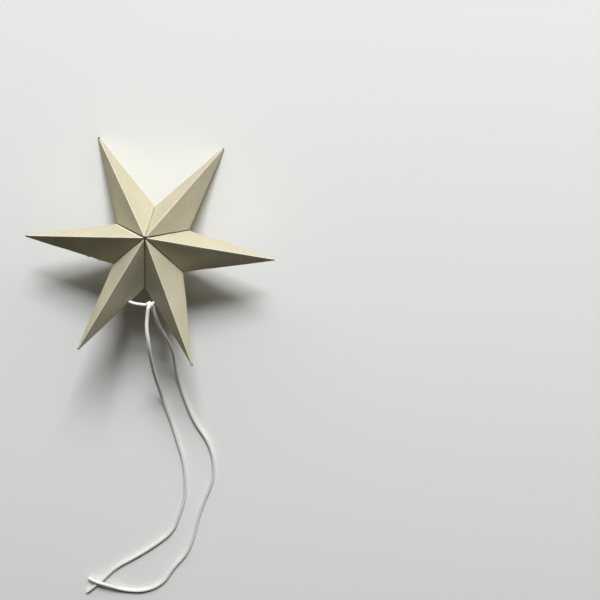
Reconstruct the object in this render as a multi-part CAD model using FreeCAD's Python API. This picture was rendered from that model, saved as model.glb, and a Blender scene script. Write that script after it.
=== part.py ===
import FreeCAD, Part
import math
import os

V = FreeCAD.Vector

# Six-pointed star of folded card, one hollow spike to an arm, tied with white cord.
# Lengths in millimetres, angles in degrees, +Z up from the surface it lies on.

# The star's overall form, about its own centre
STAR_RADIUS = 50.0           # centre to the blunt end of an arm
STAR_HALF_HEIGHT = 19.5      # centre to the peak where the front ridges would meet
VALLEY_RADIUS = 16.7         # centre to the outline corner between two arms
TIP_TRIM = 1.9               # an arm stops this far short of its true point
CENTRE_TRIM = 0.4            # each arm's inner corner is trimmed this far out

# Directions of the arms, anticlockwise from +X; the cord draws the end arms together
ARM_DIRECTIONS = {
    "side_arm_right": 358.8,
    "top_arm_right": 59.4,
    "top_arm_left": 120.6,
    "side_arm_left": 179.8,
    "end_arm_left": 240.5,
    "end_arm_right": 294.3,
}

# Card and its folds
CARD = 0.5                   # thickness of the card
FOLD_RADIUS = 0.3            # outside radius of a scored long fold
CREASE_BEVEL = 0.4           # width of card taken by the turn into a glue flap
FLAP_WIDTH = 4.0             # glue flap, from the crease inwards
FLAP_SLIT = 0.4              # cut between the front flap and the back flap
SLIT_STOP = 1.0              # the cut ends this far inside the outline corner

# Cord and its punched holes
CORD_DIAMETER = 1.5
HOLE_DIAMETER = 2.5
HOLE_RUN_LEFT = 8.3          # outline corner to hole, along the left end arm's fold
HOLE_RUN_RIGHT = 7.0         # outline corner to hole, along the right end arm's fold
STOPPER_DIAMETER = 3.2       # knot inside an end arm that keeps the cord in its hole
STOPPER_CLEARANCE = 0.15     # stopper to the card it rests against
KNOT_DIAMETER = 3.2          # knot that joins the two cords in front of the right hole
KNOT_CLEARANCE = 0.3         # knot to the card beside it
TIE_LEAN = math.radians(11)  # the left cord leaves its hole this far off square
TIE_SAG = 0.25               # the cord between the arms hangs out of line by this
KNOT_CORE = 1.0              # the cord between the arms enters the knot this near its middle

# Routes of the two loose tails, from the knot down to the surface and along it
TAIL_LEFT_ROUTE = [
    V(1.4, -21.4, 27.3), V(1.0, -25.8, 27.3), V(0.9, -30.7, 26.4), V(1.3, -36.7, 23.8),
    V(1.7, -43.9, 18.8), V(2.0, -51.4, 13.0), V(2.8, -58.6, 7.6), V(4.1, -65.3, 3.3),
    V(5.9, -71.4, 0.75), V(10.2, -81.8, 0.75), V(13.2, -90.8, 0.75), V(16.6, -100.3, 0.75),
    V(17.9, -109.8, 0.75), V(18.4, -117.8, 0.75), V(16.2, -127.3, 0.75), V(13.6, -136.8, 0.75),
    V(5.0, -145.0, 0.75), V(-2.6, -151.1, 0.75), V(-12.3, -157.8, 0.75), V(-17.9, -165.2, 0.75),
    V(-25.0, -172.0, 0.75),
]
TAIL_RIGHT_ROUTE = [
    V(2.9, -20.9, 26.2), V(3.7, -25.4, 24.0), V(4.9, -31.2, 19.4), V(7.4, -38.4, 13.3),
    V(10.2, -46.4, 7.6), V(10.7, -54.4, 3.2), V(12.6, -62.6, 0.75), V(16.2, -72.2, 0.75),
    V(20.5, -81.4, 0.75), V(26.8, -89.6, 0.75), V(30.0, -98.2, 0.75), V(30.6, -108.2, 0.75),
    V(27.4, -118.0, 0.75), V(24.9, -127.4, 0.75), V(23.6, -137.0, 0.75), V(20.8, -147.4, 0.75),
    V(14.6, -155.6, 0.75), V(10.6, -164.2, 0.75), V(2.0, -169.4, 0.75), V(-8.2, -169.6, 0.75),
    V(-15.2, -166.5, 2.4), V(-21.0, -165.2, 2.4), V(-24.4, -164.5, 0.9),
]

APEX = STAR_RADIUS + TIP_TRIM
FAR = 2.0 * STAR_RADIUS      # longer than anything that is cut


def plane_vector(angle, length=1.0):
    return V(length * math.cos(angle), length * math.sin(angle), 0.0)


def spike(half_left, half_right, shift, end):
    """Sharp four-sided spike along +X; with its point shifted back by a wall it is the hollow."""
    rings = []
    for x in (0.0, end):
        scale = (APEX - shift - x) / APEX
        rings.append([V(x, 0, scale * STAR_HALF_HEIGHT), V(x, scale * root_width(half_left), 0),
                      V(x, 0, -scale * STAR_HALF_HEIGHT), V(x, -scale * root_width(half_right), 0)])
    root, tip = rings
    outlines = [root, tip]
    for i in range(4):
        outlines.append([root[i - 1], root[i], tip[i], tip[i - 1]])
    faces = [Part.Face(Part.makePolygon(outline + outline[:1])) for outline in outlines]
    return Part.Solid(Part.Shell(faces))


def folded(body):
    """Rounds the four long folds, two ridges and two outline folds."""
    folds = [edge for edge in body.Edges if edge.Length > STAR_RADIUS / 2]
    return body.makeFillet(FOLD_RADIUS, folds)


def root_width(half_angle):
    """Half width at the centre line of the panels that pass through the outline corner."""
    corner = plane_vector(half_angle, VALLEY_RADIUS)
    return corner.y * APEX / (APEX - corner.x)


def wedge(half_left, half_right, inset):
    """Space between an arm's two seam planes, each moved in by the inset."""
    spread = math.sin(half_left + half_right)
    start = V(inset * (math.cos(half_left) + math.cos(half_right)) / spread,
              inset * (math.sin(half_left) - math.sin(half_right)) / spread, -STAR_RADIUS)
    outline = [start, start + plane_vector(-half_right, FAR), start + plane_vector(half_left, FAR), start]
    return Part.Face(Part.makePolygon(outline)).extrude(V(0, 0, 2 * STAR_RADIUS))


def half_space(point, normal):
    """Block that fills everything beyond a plane, as far as the star reaches."""
    across = normal.cross(V(1, 0, 0)).normalize()
    along = normal.cross(across)
    corners = [point + across * (FAR * a) + along * (FAR * b)
               for a, b in ((-1, -1), (1, -1), (1, 1), (-1, 1))]
    return Part.Face(Part.makePolygon(corners + corners[:1])).extrude(normal * FAR)


def crease_cut(half_angle, side, face):
    """Takes off the sharp edge where a panel turns into its glue flap at the seam."""
    corner = plane_vector(side * half_angle, VALLEY_RADIUS)
    peak = V(0, 0, face * STAR_HALF_HEIGHT)
    panel = (peak - corner).cross(V(APEX, 0, 0) - corner).normalize()
    if panel.z * face < 0:
        panel = panel * -1
    seam = plane_vector(side * (half_angle + math.pi / 2))
    normal = (panel + seam).normalize()
    depth = CREASE_BEVEL * math.sin(0.5 * panel.getAngle(seam))
    return half_space(corner - normal * depth, normal)


def seam_window(half_angle, side):
    """Opening left between the glue flaps of one seam, with the slit at its corner."""
    along = plane_vector(side * half_angle)
    inward = plane_vector(side * (half_angle - math.pi / 2))
    share = 1.0 - FLAP_WIDTH * math.hypot(1 / VALLEY_RADIUS, 1 / STAR_HALF_HEIGHT)
    start = -CENTRE_TRIM
    height = STAR_HALF_HEIGHT * (share - start / VALLEY_RADIUS)
    outer = along * (VALLEY_RADIUS * share)
    outline = [along * start + V(0, 0, height), outer, along * start - V(0, 0, height)]
    low = V(0, 0, -FLAP_SLIT / 2)
    high = V(0, 0, FLAP_SLIT / 2)
    stop = along * (VALLEY_RADIUS - SLIT_STOP)
    slit = [V() + low, stop + low, stop + high, V() + high]
    cuts = []
    for points in (outline, slit):
        moved = [p - inward * CARD for p in points]
        cuts.append(Part.Face(Part.makePolygon(moved + moved[:1])).extrude(inward * (2.5 * CARD)))
    return cuts


def fold_point(half_angle, side, run):
    """Point on an arm's outline fold, and the direction square to the fold, outwards."""
    corner = plane_vector(side * half_angle, VALLEY_RADIUS)
    along = (V(APEX, 0, 0) - corner).normalize()
    outwards = V(-side * along.y, side * along.x, 0)
    return corner + along * run, outwards


def arm(half_left, half_right, holes):
    """One arm along +X: four panels folded from a strip of card, with inward glue flaps."""
    body = folded(spike(half_left, half_right, 0.0, STAR_RADIUS))
    body = body.common(wedge(half_left, half_right, 0.0))
    cuts = [Part.makeBox(FAR, FAR, FAR, V(CENTRE_TRIM - FAR, -FAR / 2, -FAR / 2))]
    sides = ((half_left, 1), (half_right, -1))
    for half_angle, side in sides:
        cuts += [crease_cut(half_angle, side, 1), crease_cut(half_angle, side, -1)]
    for cut in cuts:
        body = body.cut(cut)
    corner = plane_vector(half_left, VALLEY_RADIUS)
    panel = (V(0, 0, STAR_HALF_HEIGHT) - corner).cross(V(APEX, 0, 0) - corner).normalize()
    shift = CARD / abs(panel.x)
    hollow = spike(half_left, half_right, shift, APEX - shift - CARD)
    body = body.cut(hollow.common(wedge(half_left, half_right, CARD)))
    for half_angle, side in sides:
        for cut in seam_window(half_angle, side):
            body = body.cut(cut)
    for half_angle, side, run in holes:
        point, outwards = fold_point(half_angle, side, run)
        start = point - outwards * STOPPER_DIAMETER
        body = body.cut(Part.makeCylinder(HOLE_DIAMETER / 2, 2 * STOPPER_DIAMETER, start, outwards))
    return body


def tied_knot(centre, axis, diameter):
    """Small knot of cord: two turns side by side about its axis."""
    length = 0.95 * diameter
    crest = 0.45 * diameter
    profile = [V(0, 0, -length / 2), V(0.5 * crest, 0, -length / 2), V(crest, 0, -length / 4),
               V(0.8 * crest, 0, 0), V(crest, 0, length / 4), V(0.5 * crest, 0, length / 2),
               V(0, 0, length / 2)]
    edges = [Part.LineSegment(profile[0], profile[1]).toShape(),
             Part.Arc(profile[1], profile[2], profile[3]).toShape(),
             Part.Arc(profile[3], profile[4], profile[5]).toShape(),
             Part.LineSegment(profile[5], profile[6]).toShape(),
             Part.LineSegment(profile[6], profile[0]).toShape()]
    body = Part.Face(Part.Wire(edges)).revolve(V(), V(0, 0, 1), 360)
    body.Placement = FreeCAD.Placement(centre, FreeCAD.Rotation(V(0, 0, 1), axis))
    return body


def knot_reach(diameter):
    """Farthest point of a tied knot from its middle."""
    return diameter * math.hypot(0.45, 0.95 / 4)


def cord(name, points):
    """Round cord along straight runs joined by tangent arcs, as large as the runs allow."""
    edges = []
    radii = []
    start = points[0]
    for before, corner, after in zip(points, points[1:], points[2:]):
        run_in = corner - before
        run_out = after - corner
        setback = 0.45 * min(run_in.Length, run_out.Length)
        half_turn = 0.5 * run_in.getAngle(run_out)
        radii.append(setback / math.tan(half_turn))
        inward = (run_out.normalize() - run_in.normalize()).normalize()
        enter = corner - run_in * setback
        leave = corner + run_out * setback
        middle = corner + inward * (radii[-1] / math.cos(half_turn) - radii[-1])
        edges.append(Part.LineSegment(start, enter).toShape())
        edges.append(Part.Arc(enter, middle, leave).toShape())
        start = leave
    edges.append(Part.LineSegment(start, points[-1]).toShape())
    path = Part.Wire(edges)
    circle = Part.makeCircle(CORD_DIAMETER / 2, points[0], points[1] - points[0])
    body = path.makePipeShell([Part.Wire(circle)], True, False)
    section = math.pi * CORD_DIAMETER ** 2 / 4
    tightest = round(min(radii), 1) if radii else "straight"
    print(name, "length", round(path.Length, 1), "tightest radius", tightest,
          "volume over section times length", round(body.Volume / (section * path.Length), 4))
    return body


directions = list(ARM_DIRECTIONS.values())
names = list(ARM_DIRECTIONS)
halves = {}
for i, name in enumerate(names):
    ahead = math.radians((directions[(i + 1) % 6] - directions[i]) % 360.0) / 2
    behind = math.radians((directions[i] - directions[i - 1]) % 360.0) / 2
    halves[name] = (ahead, behind)

arms = {}
for name in names:
    ahead, behind = halves[name]
    holes = {"end_arm_left": [(ahead, 1, HOLE_RUN_LEFT)],
             "end_arm_right": [(behind, -1, HOLE_RUN_RIGHT)]}.get(name, [])
    turned = arm(ahead, behind, holes)
    turned.rotate(V(), V(0, 0, 1), ARM_DIRECTIONS[name])
    arms[name] = turned


def star_point(name, point):
    """Point or direction given along an arm, in the star's own frame."""
    return FreeCAD.Rotation(V(0, 0, 1), ARM_DIRECTIONS[name]).multVec(point)


# The star lies on the back ridges of its two top arms
back = V(0, 0, -STAR_HALF_HEIGHT)
ridge_right = star_point("top_arm_right", V(APEX, 0, 0)) - back
ridge_left = star_point("top_arm_left", V(APEX, 0, 0)) - back
lying = FreeCAD.Rotation(ridge_left.cross(ridge_right), V(0, 0, -1))
for shape in arms.values():
    shape.Placement = FreeCAD.Placement(V(), lying).multiply(shape.Placement)
box = Part.makeCompound(list(arms.values())).optimalBoundingBox(True, False)
centring = V(-(box.XMin + box.XMax) / 2, -(box.YMin + box.YMax) / 2, -box.ZMin)
place = FreeCAD.Placement(centring, lying)

nodes = {}
for name, shape in arms.items():
    shape.translate(centring)
    nodes[name] = shape

# Holes, stoppers and the cord between the end arms, in the star's own frame
left_point, left_out = fold_point(halves["end_arm_left"][0], 1, HOLE_RUN_LEFT)
right_point, right_out = fold_point(halves["end_arm_right"][1], -1, HOLE_RUN_RIGHT)
left_hole = star_point("end_arm_left", left_point)
left_out = star_point("end_arm_left", left_out)
right_hole = star_point("end_arm_right", right_point)
right_out = star_point("end_arm_right", right_out)


def seat_depth(hole, out):
    """How far inside the fold a stopper's middle lies when it rests against both panels."""
    slope = math.atan2(STAR_HALF_HEIGHT, abs(hole.dot(out)))
    return (knot_reach(STOPPER_DIAMETER) + CARD + STOPPER_CLEARANCE) / math.sin(slope)


lean = FreeCAD.Rotation(V(0, 0, 1), math.degrees(TIE_LEAN)).multVec(left_out)
left_stopper = left_hole - lean * (seat_depth(left_hole, left_out) / math.cos(TIE_LEAN))
right_stopper = right_hole - right_out * seat_depth(right_hole, right_out)
knot_middle = right_hole + right_out * (knot_reach(KNOT_DIAMETER) + KNOT_CLEARANCE)
left_exit = left_hole + lean * KNOT_CLEARANCE
sagged = (left_exit + knot_middle) * 0.5 + V(0, -TIE_SAG, 0)
tie_end = knot_middle + (sagged - knot_middle).normalize() * KNOT_CORE
ties = {
    "tie_left": [left_stopper, left_exit, sagged, tie_end],
    "tie_right": [right_stopper, knot_middle - right_out * KNOT_CORE],
}
for name, route in ties.items():
    nodes[name] = cord(name, [place.multVec(point) for point in route])
nodes["tail_left"] = cord("tail_left", TAIL_LEFT_ROUTE)
nodes["tail_right"] = cord("tail_right", TAIL_RIGHT_ROUTE)

knots = {
    "stopper_left": (left_stopper, lean, STOPPER_DIAMETER, ["tie_left"]),
    "stopper_right": (right_stopper, right_out, STOPPER_DIAMETER, ["tie_right"]),
    "tie_knot": (knot_middle, sagged - knot_middle, KNOT_DIAMETER,
                 ["tie_left", "tie_right", "tail_left", "tail_right"]),
}
for name, (middle, axis, diameter, cords) in knots.items():
    body = tied_knot(middle, axis, diameter)
    body.Placement = place.multiply(body.Placement)
    for held in cords:
        body = body.cut(nodes[held])
    nodes[name] = body

os.makedirs("parts", exist_ok=True)
for name, shape in nodes.items():
    solid = shape.Solids[0]
    solid.exportStep("parts/" + name + ".step")
    lowest = solid.optimalBoundingBox(True, False).ZMin
    print(name, "solids", len(shape.Solids), "volume", round(solid.Volume, 2), "lowest", round(lowest, 3))
print("middle of the knot that joins the cords", place.multVec(knot_middle))
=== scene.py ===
import math
import bpy
from mathutils import Euler, Matrix, Vector


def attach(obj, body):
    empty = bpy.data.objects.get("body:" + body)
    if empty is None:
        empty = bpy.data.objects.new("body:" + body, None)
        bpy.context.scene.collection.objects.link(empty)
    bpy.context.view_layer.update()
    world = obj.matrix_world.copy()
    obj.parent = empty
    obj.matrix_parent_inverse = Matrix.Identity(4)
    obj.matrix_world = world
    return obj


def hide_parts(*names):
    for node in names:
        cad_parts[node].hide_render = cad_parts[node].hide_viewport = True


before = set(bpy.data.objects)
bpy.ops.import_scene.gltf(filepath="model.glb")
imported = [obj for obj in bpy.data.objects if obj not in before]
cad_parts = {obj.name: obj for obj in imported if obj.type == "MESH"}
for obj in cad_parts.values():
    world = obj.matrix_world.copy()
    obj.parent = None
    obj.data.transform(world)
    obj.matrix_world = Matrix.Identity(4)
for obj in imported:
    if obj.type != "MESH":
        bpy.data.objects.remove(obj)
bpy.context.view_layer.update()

bpy.ops.object.select_all(action="DESELECT")
scene = bpy.context.scene
scene.view_settings.view_transform = "Standard"

# The star lies on a pale table and is looked at from above, and a little from the side of
# its two top arms. The camera stands where the photograph was taken from.
camera_data = bpy.data.cameras.new("camera")
camera_data.sensor_fit = "HORIZONTAL"
camera_data.angle = math.radians(35.0)
camera = bpy.data.objects.new("camera", camera_data)
camera.location = (0.0513, 0.0947, 0.3901)
camera.rotation_euler = (math.radians(-16.6), math.radians(-0.1), math.radians(5.0))
scene.collection.objects.link(camera)
scene.camera = camera

# The table: a smooth matt white board with faint clouds in its tone, much larger than the
# view. It is scenery that the star lies on.
bpy.ops.mesh.primitive_plane_add(size=6.0, location=(0, 0, 0))
table = bpy.context.object
table.name = "table"
board = bpy.data.materials.new("white_board")
board.use_nodes = True
board_shader = board.node_tree.nodes["Principled BSDF"]
board_shader.inputs["Roughness"].default_value = 0.7
board_shader.inputs["Specular IOR Level"].default_value = 0.1
board_place = board.node_tree.nodes.new("ShaderNodeTexCoord")
board_cloud = board.node_tree.nodes.new("ShaderNodeTexNoise")
board_cloud.inputs["Scale"].default_value = 6.0
board_cloud.inputs["Detail"].default_value = 2.0
board_tone = board.node_tree.nodes.new("ShaderNodeMix")
board_tone.data_type = "RGBA"
board_tone.inputs["A"].default_value = (0.835, 0.825, 0.765, 1)
board_tone.inputs["B"].default_value = (0.85, 0.84, 0.78, 1)
board.node_tree.links.new(board_place.outputs["Object"], board_cloud.inputs["Vector"])
board.node_tree.links.new(board_cloud.outputs["Fac"], board_tone.inputs["Factor"])
board.node_tree.links.new(board_tone.outputs["Result"], board_shader.inputs["Base Color"])
table.data.materials.append(board)

# Daylight from a window beyond the tips of the two top arms: its bright middle, the wide dim
# sky about it, and a very weak room. To the eye and in gloss the room is white.
AIM = Vector((0, -0.03, 0))
for name, place, width, height, energy, colour in (
        ("window", (0.14, 1.49, 1.13), 0.62, 0.50, 40.5, (0.96, 1.0, 1.09)),
        ("sky", (0.20, 1.80, 0.85), 6.5, 0.7, 39.0, (1.0, 0.98, 0.91))):
    lamp_data = bpy.data.lights.new(name, "AREA")
    lamp_data.shape = "RECTANGLE"
    lamp_data.size = width
    lamp_data.size_y = height
    lamp_data.energy = energy
    lamp_data.color = colour
    lamp = bpy.data.objects.new(name, lamp_data)
    lamp.location = place
    lamp.rotation_euler = (AIM - lamp.location).to_track_quat("-Z", "Y").to_euler()
    scene.collection.objects.link(lamp)
room = bpy.data.worlds.new("room")
scene.world = room
room.use_nodes = True
room_nodes = room.node_tree.nodes
room_light = room_nodes["Background"]
room_light.inputs["Color"].default_value = (1.0, 0.90, 0.65, 1)
room_light.inputs["Strength"].default_value = 0.015
room_seen = room_nodes.new("ShaderNodeBackground")
room_seen.inputs["Color"].default_value = (0.86, 0.87, 0.87, 1)
room_seen.inputs["Strength"].default_value = 1.0
ray = room_nodes.new("ShaderNodeLightPath")
either = room_nodes.new("ShaderNodeMath")
either.operation = "MAXIMUM"
either_more = room_nodes.new("ShaderNodeMath")
either_more.operation = "MAXIMUM"
room_mix = room_nodes.new("ShaderNodeMixShader")
room.node_tree.links.new(ray.outputs["Is Camera Ray"], either.inputs[0])
room.node_tree.links.new(ray.outputs["Is Glossy Ray"], either.inputs[1])
room.node_tree.links.new(either.outputs[0], either_more.inputs[0])
room.node_tree.links.new(ray.outputs["Is Transmission Ray"], either_more.inputs[1])
room.node_tree.links.new(either_more.outputs[0], room_mix.inputs["Fac"])
room.node_tree.links.new(room_light.outputs[0], room_mix.inputs[1])
room.node_tree.links.new(room_seen.outputs[0], room_mix.inputs[2])
room.node_tree.links.new(room_mix.outputs[0], room_nodes["World Output"].inputs["Surface"])

# Six arms of greyish kraft card, each scored and folded from one strip and glued to its
# neighbours by narrow flaps. The arms' long folds are worn pale and carry a painted highlight;
# their tips are left open with painted shade in them, and painted shade lies in the seams and at the
# centre.
CARD = 0.0005
STAR_RADIUS = 0.050
APEX = 0.0519                # where an arm's folds would meet, beyond its open tip
HALF_HEIGHT = 0.0195
VALLEY_RADIUS = 0.0167
CENTRE_TRIM = 0.0004
FOLD_RADIUS = 0.0003
FLAP_WIDTH = 0.004
HOLE_DIAMETER = 0.0025
STAR_CENTRE = Vector((0.0, 0.001145, 0.017628))
STAR_TILT = math.radians(23.582)
ARM_DIRECTIONS = {
    "side_arm_right": 358.8,
    "top_arm_right": 59.4,
    "top_arm_left": 120.6,
    "side_arm_left": 179.8,
    "end_arm_left": 240.5,
    "end_arm_right": 294.3,
}
# Dents in an arm's outline fold or front ridge: side (1 left, -1 right, 0 ridge), place, depth
DENTS = {
    "side_arm_left": [(1, 0.0245, 0.00030), (1, 0.0235, -0.00015), (1, 0.0200, 0.00025)],
    "side_arm_right": [(1, 0.0276, 0.00025), (1, 0.0266, -0.00012)],
    "top_arm_left": [(0, 0.0335, 0.00030)],
    "top_arm_right": [(1, 0.0255, 0.00018)],
    "end_arm_left": [(1, 0.0190, 0.00022)],
    "end_arm_right": [(1, 0.0310, 0.00016)],
}
# The glued seam on the left of each arm: how dark the painted shade in its gap shows, and how strong the
# painted highlight on the lapped card edge beside it
SEAM_TONES = {
    "side_arm_right": (0.90, 0.10),
    "top_arm_right": (0.10, 0.10),
    "top_arm_left": (0.90, 0.75),
    "side_arm_left": (0.35, 0.10),
    "end_arm_left": (0.65, 0.05),
    "end_arm_right": (0.55, 0.05),
}
# Painted shade in the end of each open tip: its length and how dark it is
TIP_MARKS = {
    "side_arm_right": (0.0007, 0.60),
    "top_arm_right": (0.0008, 0.60),
    "top_arm_left": (0.0011, 0.95),
    "side_arm_left": (0.0010, 0.85),
    "end_arm_left": (0.0008, 0.70),
    "end_arm_right": (0.0006, 0.80),
}
# Punched cord holes: side of the arm, and run from the outline corner along the fold
HOLES = {"end_arm_left": (1, 0.0083), "end_arm_right": (-1, 0.0070)}
LONG_FOLD = 0.03             # an arm's edges above this length are its four long folds
FLAP_TAPER = 0.62            # a glue flap's free edge is this share of its crease
DENT_REACH = 0.0008          # a dent moves the fold this far to each side of its place
DENT_HALF_WIDTH = 0.0007
TIP_WALL = 0.35              # share of the card's thickness left where a tip is pressed flat
TIP_TAPER = 0.008            # the card comes to its full thickness this far behind the tip

KRAFT_DARK = (0.445, 0.40, 0.27)
KRAFT_PALE = (0.52, 0.475, 0.34)
DARK_FIBRE = (0.34, 0.29, 0.19)
PALE_SPECK = (0.66, 0.62, 0.50)
WORN_CARD_AND_HIGHLIGHT = (0.74, 0.71, 0.62)
LAP_EDGE_HIGHLIGHT = (0.80, 0.77, 0.66)
SEAM_PAINTED_SHADE = (0.07, 0.055, 0.035)
DARK_SPOT = (0.17, 0.13, 0.08)
TIP_PAINTED_SHADE = (0.07, 0.06, 0.05)
CENTRE_PAINTED_SHADE = (0.05, 0.04, 0.03)
SEAM_SHADE_WIDTH = (0.00012, 0.00036)      # the seam's line of painted shade: its full and its last half width
SEAM_RAGGED = 0.0005               # how far the seam's edge wanders
LAP_EDGE_PLACE = 0.00060                # middle of the painted highlight on the lapped card edge beside a seam
CENTRE_SHADE_REACH = (0.0005, 0.0011)   # painted shade at the centre: its full and its last reach


def pick(piece, kind, test):
    """Selects the piece's vertices or edges whose two ends, or one point twice, pass a test."""
    mesh = piece.data
    bpy.ops.object.mode_set(mode="EDIT")
    bpy.ops.mesh.select_mode(type=kind)
    bpy.ops.mesh.select_all(action="DESELECT")
    bpy.ops.object.mode_set(mode="OBJECT")
    if kind == "VERT":
        for vertex in mesh.vertices:
            vertex.select = test(vertex.co, vertex.co)
    else:
        for edge in mesh.edges:
            edge.select = test(*(mesh.vertices[v].co for v in edge.vertices))
    bpy.ops.object.mode_set(mode="EDIT")


def card_arm(name, half_left, half_right):
    """Folds one arm along +X: four panels, their glue flaps, the dents and the punched hole."""
    corners = {}
    for side, half in ((1, half_left), (-1, half_right)):
        corners[side] = Vector((VALLEY_RADIUS * math.cos(half), side * VALLEY_RADIUS * math.sin(half), 0))
    roots = {side: corner.y * APEX / (APEX - corner.x) for side, corner in corners.items()}
    bpy.ops.mesh.primitive_cone_add(vertices=4, radius1=HALF_HEIGHT, radius2=0, depth=APEX,
                                    end_fill_type="NOTHING", location=(APEX / 2, 0, 0),
                                    rotation=(0, math.pi / 2, 0))
    piece = bpy.context.object
    piece.name = "card_" + name
    bpy.ops.object.transform_apply(location=True, rotation=True, scale=True)
    for side, root in roots.items():
        pick(piece, "VERT", lambda a, b: side * a.y > 0.5 * HALF_HEIGHT)
        bpy.ops.transform.translate(value=(0, root - side * HALF_HEIGHT, 0))
    seams = {1: Vector((-math.sin(half_left), math.cos(half_left), 0)),
             -1: Vector((-math.sin(half_right), -math.cos(half_right), 0))}
    cuts = [(Vector((STAR_RADIUS, 0, 0)), Vector((1, 0, 0)))]
    cuts += [(Vector(), seam) for seam in seams.values()]
    for point, normal in cuts:
        bpy.ops.mesh.select_all(action="SELECT")
        bpy.ops.mesh.bisect(plane_co=point, plane_no=normal, clear_outer=True, threshold=1e-6)

    pick(piece, "EDGE", lambda a, b: (a - b).length > LONG_FOLD)
    bpy.ops.mesh.bevel(offset=FOLD_RADIUS, segments=4, affect="EDGES", clamp_overlap=False)
    pick(piece, "EDGE", lambda a, b: (a - b).length > LONG_FOLD)
    bpy.ops.mesh.subdivide(number_cuts=31)

    def spans_panel(a, b):
        rise = abs(abs(a.z) - abs(b.z)) * APEX / (APEX - min(a.x, b.x))
        return rise > 0.5 * HALF_HEIGHT and abs(a.z + b.z) > 0
    pick(piece, "EDGE", spans_panel)
    bpy.ops.mesh.subdivide(number_cuts=11)

    for side, seam in seams.items():
        for face in (1, -1):
            fold = Vector((0, 0, face * HALF_HEIGHT)) - corners[side]
            inward = fold.cross(seam).normalized()
            if inward.z * face > 0:
                inward = -inward

            def on_seam(a, b):
                flat = abs(a.dot(seam)) < 2e-6 and abs(b.dot(seam)) < 2e-6
                return flat and (a.z + b.z) * face > 0 and (a - b).length > 0.0012
            pick(piece, "EDGE", on_seam)
            bpy.ops.mesh.extrude_edges_move(TRANSFORM_OT_translate={"value": inward * FLAP_WIDTH})
            middle = corners[side] + fold / 2 + inward * FLAP_WIDTH
            bpy.ops.transform.resize(value=(FLAP_TAPER, FLAP_TAPER, FLAP_TAPER), center_override=middle)
    bpy.ops.mesh.select_all(action="SELECT")
    bpy.ops.mesh.bisect(plane_co=(CENTRE_TRIM, 0, 0), plane_no=(-1, 0, 0), clear_outer=True, threshold=1e-6)
    for side, place, depth in DENTS[name]:
        def in_dent(a, b):
            on_fold = side * a.y > 0 and abs(a.z) < DENT_HALF_WIDTH
            on_ridge = a.z > 0 and abs(a.y) < DENT_HALF_WIDTH
            return abs(a.x - place) < DENT_REACH and (on_fold if side else on_ridge)
        pick(piece, "VERT", in_dent)
        bpy.ops.transform.translate(value=(0, side * depth, 0 if side else -depth))
    bpy.ops.mesh.select_all(action="SELECT")
    bpy.ops.mesh.normals_make_consistent(inside=False)
    bpy.ops.object.mode_set(mode="OBJECT")

    wall = piece.vertex_groups.new(name="wall")
    for vertex in piece.data.vertices:
        share = min(1.0, TIP_WALL + (STAR_RADIUS - vertex.co.x) / TIP_TAPER)
        wall.add([vertex.index], share, "REPLACE")
    thicken = piece.modifiers.new("card thickness", "SOLIDIFY")
    thicken.thickness = CARD
    thicken.offset = -1.0
    thicken.use_even_offset = True
    thicken.vertex_group = "wall"
    bpy.ops.object.modifier_apply(modifier=thicken.name)
    if name in HOLES:
        side, run = HOLES[name]
        along = (Vector((APEX, 0, 0)) - corners[side]).normalized()
        outward = Vector((-side * along.y, side * along.x, 0))
        bpy.ops.mesh.primitive_cylinder_add(vertices=40, radius=HOLE_DIAMETER / 2, depth=0.006,
                                            location=corners[side] + along * run,
                                            rotation=outward.to_track_quat("Z", "Y").to_euler())
        punch = bpy.context.object
        bpy.ops.object.select_all(action="DESELECT")
        bpy.context.view_layer.objects.active = piece
        piece.select_set(True)
        hole = piece.modifiers.new("punched hole", "BOOLEAN")
        hole.object = punch
        hole.solver = "EXACT"
        bpy.ops.object.modifier_apply(modifier=hole.name)
        bpy.data.objects.remove(punch)
    return piece


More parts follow.
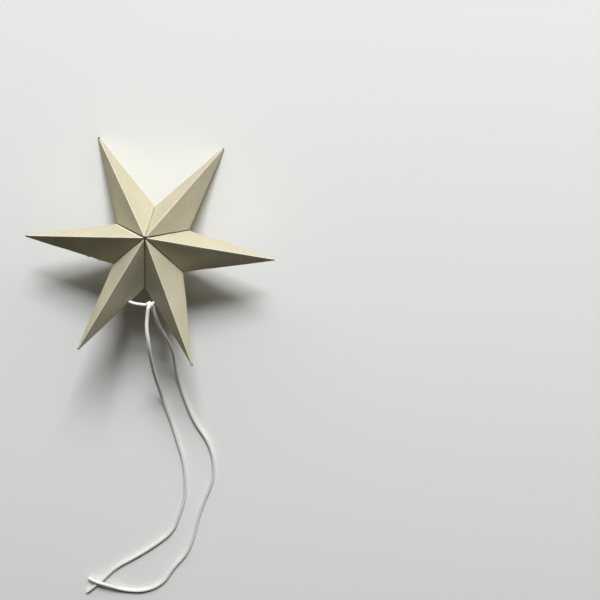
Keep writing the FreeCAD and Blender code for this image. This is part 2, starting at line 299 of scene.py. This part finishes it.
def card_finish(name, azimuth, half_left, half_right, seam_left, seam_right):
    """Card for one arm, in the arm's own coordinates: x along it, y across, z out of its face."""
    card = bpy.data.materials.new("card_" + name)
    card.use_nodes = True
    nodes = card.node_tree.nodes
    links = card.node_tree.links
    shader = nodes["Principled BSDF"]
    shader.inputs["Roughness"].default_value = 0.85
    shader.inputs["Specular IOR Level"].default_value = 0.0

    def node(kind, **values):
        made = nodes.new(kind)
        for key, value in values.items():
            setattr(made, key, value)
        return made

    def calc(operation, first, second=None, third=None, clamp=False):
        made = node("ShaderNodeMath", operation=operation, use_clamp=clamp)
        for socket, value in zip(made.inputs, (first, second, third)):
            if value is None:
                continue
            if isinstance(value, (int, float)):
                socket.default_value = value
            else:
                links.new(value, socket)
        return made.outputs[0]

    def noise(vector, scale, detail, rough=0.5):
        made = node("ShaderNodeTexNoise")
        links.new(vector, made.inputs["Vector"])
        made.inputs["Scale"].default_value = scale
        made.inputs["Detail"].default_value = detail
        made.inputs["Roughness"].default_value = rough
        return made.outputs["Fac"]

    def blend(factor, first, second):
        made = node("ShaderNodeMix", data_type="RGBA")
        links.new(factor, made.inputs["Factor"])
        for key, value in (("A", first), ("B", second)):
            if isinstance(value, tuple):
                made.inputs[key].default_value = (*value, 1)
            else:
                links.new(value, made.inputs[key])
        return made.outputs["Result"]

    def band(value, inner, outer):
        """1 where the value is under inner, 0 past outer, smooth between."""
        made = node("ShaderNodeMapRange", interpolation_type="SMOOTHSTEP")
        links.new(value, made.inputs["Value"])
        made.inputs["From Min"].default_value = inner
        made.inputs["From Max"].default_value = outer
        made.inputs["To Min"].default_value = 1.0
        made.inputs["To Max"].default_value = 0.0
        return made.outputs["Result"]

    place = node("ShaderNodeTexCoord")
    turn = Euler((STAR_TILT, 0, -azimuth))
    arm = node("ShaderNodeMapping")
    arm.inputs["Rotation"].default_value = turn
    arm.inputs["Location"].default_value = -(turn.to_matrix() @ STAR_CENTRE)
    links.new(place.outputs["Object"], arm.inputs["Vector"])
    here = arm.outputs["Vector"]
    axes = node("ShaderNodeSeparateXYZ")
    links.new(here, axes.inputs[0])
    x, y, z = axes.outputs

    fibre_stretch = node("ShaderNodeMapping")
    fibre_stretch.inputs["Scale"].default_value = (1.0, 3.5, 1.6)
    links.new(here, fibre_stretch.inputs["Vector"])
    fibres = noise(fibre_stretch.outputs["Vector"], scale=1500, detail=3, rough=0.6)
    specks = noise(here, scale=900, detail=2, rough=0.6)
    clouds = noise(here, scale=70, detail=3, rough=0.55)
    wear = noise(here, scale=420, detail=3, rough=0.6)

    tone = blend(clouds, KRAFT_DARK, KRAFT_PALE)
    dark_fibres = calc("MULTIPLY", band(fibres, 0.33, 0.42), 0.45)
    tone = blend(dark_fibres, tone, DARK_FIBRE)
    pale_specks = calc("MULTIPLY", calc("SUBTRACT", 1.0, band(specks, 0.60, 0.72)), 0.50)
    tone = blend(pale_specks, tone, PALE_SPECK)

    # Real wear mixed with a painted highlight: a pale line along the front ridge and, fainter, along the
    # outline folds
    ridge = band(calc("ABSOLUTE", y), 0.00008, 0.00028)
    outline = calc("MULTIPLY", band(calc("ABSOLUTE", z), 0.00008, 0.00026), 0.35)
    patchy = calc("MULTIPLY_ADD", wear, 1.2, 0.05, clamp=True)
    worn_and_highlight = calc("MULTIPLY", calc("MAXIMUM", ridge, outline), patchy)
    tone = blend(calc("MULTIPLY", worn_and_highlight, 0.8), tone, WORN_CARD_AND_HIGHLIGHT)

    wander = noise(here, scale=260, detail=2, rough=0.6)
    ragged = calc("MULTIPLY_ADD", wander, SEAM_RAGGED, -SEAM_RAGGED / 2)
    for side, half, (dark, lap_highlight) in ((-1, half_left, seam_left), (1, half_right, seam_right)):
        away = calc("MULTIPLY_ADD", y, side * math.cos(half), calc("MULTIPLY", x, math.sin(half)))
        # Painted shade: a near-black line in the groove of the glued seam
        seam = band(calc("ADD", away, ragged), *SEAM_SHADE_WIDTH)
        tone = blend(calc("MULTIPLY", seam, dark), tone, SEAM_PAINTED_SHADE)
        if side > 0:
            # Painted highlight: a pale line on the lapped card edge beside the seam
            lap_edge_highlight = band(calc("ABSOLUTE", calc("SUBTRACT", away, LAP_EDGE_PLACE)), 0.00005, 0.00026)
            tone = blend(calc("MULTIPLY", lap_edge_highlight, lap_highlight), tone, LAP_EDGE_HIGHLIGHT)

    spots = node("ShaderNodeTexVoronoi")
    spots.inputs["Scale"].default_value = 260.0
    links.new(here, spots.inputs["Vector"])
    chosen = node("ShaderNodeSeparateColor")
    links.new(spots.outputs["Color"], chosen.inputs["Color"])
    few = calc("GREATER_THAN", chosen.outputs["Red"], 0.86)
    spot = calc("MULTIPLY", band(spots.outputs["Distance"], 0.03, 0.075), few)
    tone = blend(calc("MULTIPLY", spot, 0.55), tone, DARK_SPOT)
    tip_length, tip_dark = TIP_MARKS[name]
    # Painted shade inside the open tip: its end is darkened
    tip = band(calc("SUBTRACT", STAR_RADIUS, x), 0.5 * tip_length, tip_length)
    tone = blend(calc("MULTIPLY", tip, tip_dark), tone, TIP_PAINTED_SHADE)
    # Painted shade in the small hole at the centre where the arms meet
    centre = band(x, *CENTRE_SHADE_REACH)
    tone = blend(calc("MULTIPLY", centre, 0.85), tone, CENTRE_PAINTED_SHADE)
    links.new(tone, shader.inputs["Base Color"])

    bump = node("ShaderNodeBump")
    bump.inputs["Strength"].default_value = 0.35
    bump.inputs["Distance"].default_value = 0.00006
    links.new(calc("ADD", fibres, calc("MULTIPLY", specks, 0.6)), bump.inputs["Height"])
    slack = node("ShaderNodeBump")
    slack.inputs["Strength"].default_value = 0.5
    slack.inputs["Distance"].default_value = 0.0006
    links.new(noise(here, scale=55, detail=1), slack.inputs["Height"])
    links.new(slack.outputs["Normal"], bump.inputs["Normal"])
    links.new(bump.outputs["Normal"], shader.inputs["Normal"])
    return card


slack_card = bpy.data.textures.new("slack_card", "CLOUDS")
slack_card.noise_scale = 0.014
slack_card.noise_depth = 1
arm_names = list(ARM_DIRECTIONS)
for i, name in enumerate(arm_names):
    azimuth = math.radians(ARM_DIRECTIONS[name])
    ahead = math.radians(ARM_DIRECTIONS[arm_names[(i + 1) % 6]])
    behind = math.radians(ARM_DIRECTIONS[arm_names[i - 1]])
    half_left = ((ahead - azimuth) % math.tau) / 2
    half_right = ((azimuth - behind) % math.tau) / 2
    arm_piece = card_arm(name, half_left, half_right)
    arm_place = Matrix.Translation(STAR_CENTRE) @ Matrix.Rotation(-STAR_TILT, 4, "X")
    arm_place = arm_place @ Matrix.Rotation(azimuth, 4, "Z")
    arm_piece.matrix_world = arm_place
    bpy.ops.object.transform_apply(location=True, rotation=True, scale=True)
    slack = arm_piece.modifiers.new("slack panels", "DISPLACE")
    slack.texture = slack_card
    slack.strength = 0.0005
    slack.mid_level = 0.6
    slack.vertex_group = "wall"
    bpy.ops.object.modifier_apply(modifier=slack.name)
    bpy.ops.object.shade_smooth_by_angle(angle=math.radians(15))
    bpy.ops.object.select_all(action="DESELECT")
    seam_right = SEAM_TONES[arm_names[i - 1]]
    finish = card_finish(name, azimuth, half_left, half_right, SEAM_TONES[name], seam_right)
    arm_piece.data.materials.append(finish)
    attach(arm_piece, "root")
    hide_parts(name)

# At the tip of the last arm, the right one of the two end arms, a sliver of the card has
# sprung open and stands out as a small loop.
CURL_RADIUS = 0.00045
CURL_HALF_THICKNESS = 0.00014
CURL_MIDDLE = (STAR_RADIUS + 0.00030, 0, 0.0002)
CURL_CUT = (STAR_RADIUS - 0.0001, 0, 0)      # the loop is cut open here, inside the tip
bpy.ops.mesh.primitive_torus_add(major_segments=32, minor_segments=10, major_radius=CURL_RADIUS,
                                 minor_radius=CURL_HALF_THICKNESS, location=CURL_MIDDLE)
tip_curl = bpy.context.object
tip_curl.name = "card_tip_curl"
tip_curl.scale = (1.25, 1.0, 1.0)
tip_curl.matrix_world = arm_place @ tip_curl.matrix_world
bpy.ops.object.transform_apply(location=True, rotation=True, scale=True)
bpy.ops.object.mode_set(mode="EDIT")
bpy.ops.mesh.select_all(action="SELECT")
bpy.ops.mesh.bisect(plane_co=arm_place @ Vector(CURL_CUT), plane_no=arm_place.col[0].xyz,
                    clear_inner=True, use_fill=True, threshold=1e-7)
bpy.ops.mesh.select_all(action="SELECT")
bpy.ops.mesh.normals_make_consistent(inside=False)
bpy.ops.object.mode_set(mode="OBJECT")
bpy.ops.object.shade_smooth_by_angle(angle=math.radians(50))
bpy.ops.object.select_all(action="DESELECT")
tip_curl.data.materials.append(finish)
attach(tip_curl, "root")

# White cotton cord of 1.5 mm, three plies twisted. One strand leaves each end arm, the
# two are knotted in front of the right hole, and both tails lie loose on the table.
CORD_RADIUS = 0.00075
PLY_TURN = 0.0052            # length of cord in which a ply goes round once
PLY_GROOVE = 0.07            # depth of the grooves between plies, as a share of the radius
COTTON_DARK = (0.82, 0.80, 0.72, 1)
COTTON_PALE = (0.93, 0.91, 0.83, 1)
TAIL_PAINTED_SHADE = (0.78, 0.785, 0.80, 1)        # painted shade: the tails turn greyer from 34 to 62 mm in front of the star's centre
TAIL_SHADE_FROM = -0.034
TAIL_SHADE_TO = -0.062
cotton = bpy.data.materials.new("white_cotton")
cotton.use_nodes = True
cotton_nodes = cotton.node_tree.nodes
cotton_links = cotton.node_tree.links
cotton_shader = cotton_nodes["Principled BSDF"]
cotton_shader.inputs["Roughness"].default_value = 0.75
cotton_shader.inputs["Sheen Weight"].default_value = 0.15
cotton_place = cotton_nodes.new("ShaderNodeTexCoord")
lint = cotton_nodes.new("ShaderNodeTexNoise")
lint.inputs["Scale"].default_value = 2600.0
lint.inputs["Detail"].default_value = 3.0
cotton_tone = cotton_nodes.new("ShaderNodeMix")
cotton_tone.data_type = "RGBA"
cotton_tone.inputs["A"].default_value = COTTON_DARK
cotton_tone.inputs["B"].default_value = COTTON_PALE
# Painted shade: the cord is made greyer along its tails, away from the knot
tail_shade = cotton_nodes.new("ShaderNodeMix")
tail_shade.data_type = "RGBA"
tail_shade.blend_type = "MULTIPLY"
tail_shade.inputs["B"].default_value = TAIL_PAINTED_SHADE
cotton_axes = cotton_nodes.new("ShaderNodeSeparateXYZ")
out_along = cotton_nodes.new("ShaderNodeMapRange")
out_along.inputs["From Min"].default_value = TAIL_SHADE_FROM
out_along.inputs["From Max"].default_value = TAIL_SHADE_TO
lint_bump = cotton_nodes.new("ShaderNodeBump")
lint_bump.inputs["Strength"].default_value = 0.4
lint_bump.inputs["Distance"].default_value = 0.00005
cotton_links.new(cotton_place.outputs["Object"], lint.inputs["Vector"])
cotton_links.new(lint.outputs["Fac"], cotton_tone.inputs["Factor"])
cotton_links.new(cotton_place.outputs["Object"], cotton_axes.inputs[0])
cotton_links.new(cotton_axes.outputs["Y"], out_along.inputs["Value"])
cotton_links.new(out_along.outputs["Result"], tail_shade.inputs["Factor"])
cotton_links.new(cotton_tone.outputs["Result"], tail_shade.inputs["A"])
cotton_links.new(tail_shade.outputs["Result"], cotton_shader.inputs["Base Color"])
cotton_links.new(lint.outputs["Fac"], lint_bump.inputs["Height"])
cotton_links.new(lint_bump.outputs["Normal"], cotton_shader.inputs["Normal"])


def twisted_cord(name, route, steps, radius=CORD_RADIUS):
    """Three-ply cord along a smooth line guided by the route. Gives the piece and its line."""
    curve = bpy.data.curves.new(name, "CURVE")
    curve.dimensions = "3D"
    spline = curve.splines.new("NURBS")
    spline.points.add(len(route) - 1)
    turned = 0.0
    for i, point in enumerate(route):
        if i:
            turned += math.tau * (Vector(point) - Vector(route[i - 1])).length / PLY_TURN
        spline.points[i].co = (*point, 1.0)
        spline.points[i].tilt = turned
    spline.order_u = 3
    spline.use_endpoint_u = True
    curve.resolution_u = steps
    piece = bpy.data.objects.new(name, curve)
    scene.collection.objects.link(piece)
    bpy.context.view_layer.update()
    line = bpy.data.meshes.new_from_object(piece.evaluated_get(bpy.context.evaluated_depsgraph_get()))
    path = [tuple(vertex.co) for vertex in line.vertices]

    section = bpy.data.curves.new(name + "_section", "CURVE")
    ring = section.splines.new("POLY")
    sides = 24
    ring.points.add(sides - 1)
    for i in range(sides):
        angle = math.tau * i / sides
        reach = radius * (1 - PLY_GROOVE + PLY_GROOVE * abs(math.cos(1.5 * angle)) ** 0.7)
        ring.points[i].co = (reach * math.cos(angle), reach * math.sin(angle), 0, 1)
    ring.use_cyclic_u = True
    profile = bpy.data.objects.new(name + "_section", section)
    scene.collection.objects.link(profile)
    curve.bevel_mode = "OBJECT"
    curve.bevel_object = profile
    curve.use_fill_caps = True
    bpy.ops.object.select_all(action="DESELECT")
    bpy.context.view_layer.objects.active = piece
    piece.select_set(True)
    bpy.ops.object.convert(target="MESH")
    bpy.data.objects.remove(profile)
    piece.data.materials.clear()
    piece.data.materials.append(cotton)
    bpy.ops.object.mode_set(mode="EDIT")
    bpy.ops.mesh.select_all(action="SELECT")
    bpy.ops.mesh.remove_doubles(threshold=1e-7)
    bpy.ops.mesh.normals_make_consistent(inside=False)
    bpy.ops.object.mode_set(mode="OBJECT")
    bpy.ops.object.shade_smooth_by_angle(angle=math.radians(50))
    bpy.ops.object.select_all(action="DESELECT")
    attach(piece, "root")
    return piece, path


TAIL_LEFT_ROUTE = [
    (0.0019, -0.0197, 0.0274), (0.0017, -0.0206, 0.0286), (0.0014, -0.0220, 0.0287),
    (0.0012, -0.0255, 0.0284), (0.0012, -0.0299, 0.0287),
    (0.0021, -0.0350, 0.0284), (0.0026, -0.0414, 0.0256), (0.0030, -0.0488, 0.0196),
    (0.0035, -0.0566, 0.0126), (0.0047, -0.0643, 0.0062), (0.0060, -0.0712, 0.0017),
    (0.0102, -0.0818, 0.00075), (0.0132, -0.0908, 0.00075), (0.0166, -0.1003, 0.00075),
    (0.0179, -0.1098, 0.00075), (0.0184, -0.1178, 0.00075), (0.0162, -0.1273, 0.00075),
    (0.0136, -0.1368, 0.00075), (0.0050, -0.1450, 0.00075), (-0.0026, -0.1511, 0.00075),
    (-0.0123, -0.1578, 0.00075), (-0.0179, -0.1652, 0.00075), (-0.0250, -0.1720, 0.00075),
]
TAIL_RIGHT_ROUTE = [
    (0.0029, -0.0209, 0.0262), (0.0037, -0.0254, 0.0240), (0.0049, -0.0312, 0.0194),
    (0.0074, -0.0384, 0.0133), (0.0102, -0.0464, 0.0076), (0.0107, -0.0544, 0.0032),
    (0.0126, -0.0626, 0.00075), (0.0162, -0.0722, 0.00075), (0.0205, -0.0814, 0.00075),
    (0.0268, -0.0896, 0.00075), (0.0300, -0.0982, 0.00075), (0.0306, -0.1082, 0.00075),
    (0.0274, -0.1180, 0.00075), (0.0249, -0.1274, 0.00075), (0.0236, -0.1370, 0.00075),
    (0.0208, -0.1474, 0.00075), (0.0146, -0.1556, 0.00075), (0.0106, -0.1642, 0.00075),
    (0.0020, -0.1694, 0.00075), (-0.0082, -0.1696, 0.00075), (-0.0152, -0.1665, 0.0024),
    (-0.0210, -0.1652, 0.0024), (-0.0244, -0.1645, 0.0009),
]
TAILS = (("tail_left", TAIL_LEFT_ROUTE, 0.178), ("tail_right", TAIL_RIGHT_ROUTE, 0.197))
for name, route, length in TAILS:
    tail, tail_line = twisted_cord("cord_" + name, route, 40)
    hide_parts(name)

# The same cord crosses the notch between the end arms. It runs out of the left hole, sags a
# little, and is tied round the cord from the right hole in a small hard knot.
KNOT_MIDDLE = Vector((0.00178, -0.02038, 0.02702))
KNOT_AXIS = Vector((-0.811, -0.537, 0.234))
KNOT_RADIUS = 0.00155
KNOT_TURNS = 2.2
KNOT_LENGTH = 0.0021
KNOT_STEPS = 44
KNOT_STRAND = 0.42            # radius of the strand in the knot, as a share of the knot's
TIE_LEFT_ROUTE = [(-0.00848, -0.01868, 0.02628), (-0.00595, -0.02002, 0.02687),
                  (-0.00208, -0.02043, 0.02705), (0.00078, -0.02039, 0.02703)]
TIE_RADIUS = 0.00062          # pulled taut, the cord is thinner
TIE_RIGHT_ROUTE = [(0.00544, -0.01796, 0.02597), (0.00400, -0.01890, 0.02638),
                   (0.00259, -0.01984, 0.02679)]
for name, route in (("tie_left", TIE_LEFT_ROUTE), ("tie_right", TIE_RIGHT_ROUTE)):
    tie = twisted_cord("cord_" + name, route, 24, radius=TIE_RADIUS)[0]
    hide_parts(name)

strand = KNOT_STRAND * KNOT_RADIUS
across = KNOT_AXIS.orthogonal().normalized()
upward = KNOT_AXIS.cross(across).normalized()
coil = []
for step in range(KNOT_STEPS + 1):
    share = step / KNOT_STEPS
    angle = math.tau * KNOT_TURNS * share
    reach = (KNOT_RADIUS - strand) * min(1.0, 5 * share + 0.2, 5 * (1 - share) + 0.2)
    around = (across * math.cos(angle) + upward * math.sin(angle)) * reach
    coil.append(tuple(KNOT_MIDDLE + KNOT_AXIS * (share - 0.5) * KNOT_LENGTH + around))
knot = twisted_cord("cord_knot", coil, 6, radius=strand)[0]
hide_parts("tie_knot")

# Inside each end arm the cord ends in a stopper knot that bears on the card about its hole.
# Both are hidden there, so they keep the plain turns they have in the CAD.
for name in ("stopper_left", "stopper_right"):
    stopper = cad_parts[name]
    stopper.data.materials.clear()
    stopper.data.materials.append(cotton)
